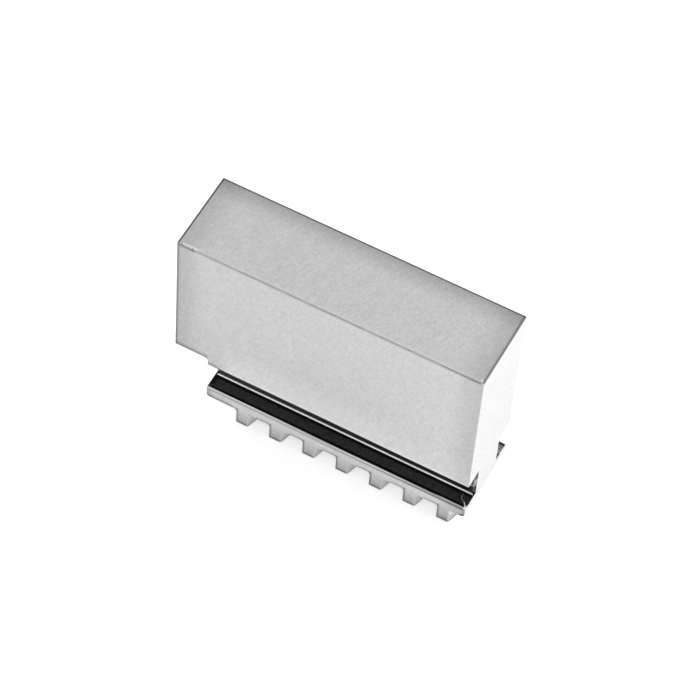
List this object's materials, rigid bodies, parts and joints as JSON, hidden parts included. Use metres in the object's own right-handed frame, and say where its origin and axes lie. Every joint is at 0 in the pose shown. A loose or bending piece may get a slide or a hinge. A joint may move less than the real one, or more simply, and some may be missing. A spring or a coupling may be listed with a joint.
{
  "type": "machinable soft jaw",
  "caption": "Machinable soft jaw for a scroll chuck: a plain steel block with an overhanging nose, on a grooved T-shaped guide with curved scroll teeth underneath.",
  "frame": {"origin": "under the middle of the block, on the plane of the tooth tips", "axes": "+X runs out along the jaw, away from the chuck's centre line; +Y runs across its width; +Z runs away from the chuck's face"},
  "size_m": [0.072, 0.02, 0.0557],
  "materials": {
    "ground_steel": "fine ground bare steel on every face, as delivered before the jaw is turned to size"
  },
  "bodies": {
    "root": {"soft_jaw": "ground_steel"}
  },
  "joints": []
}
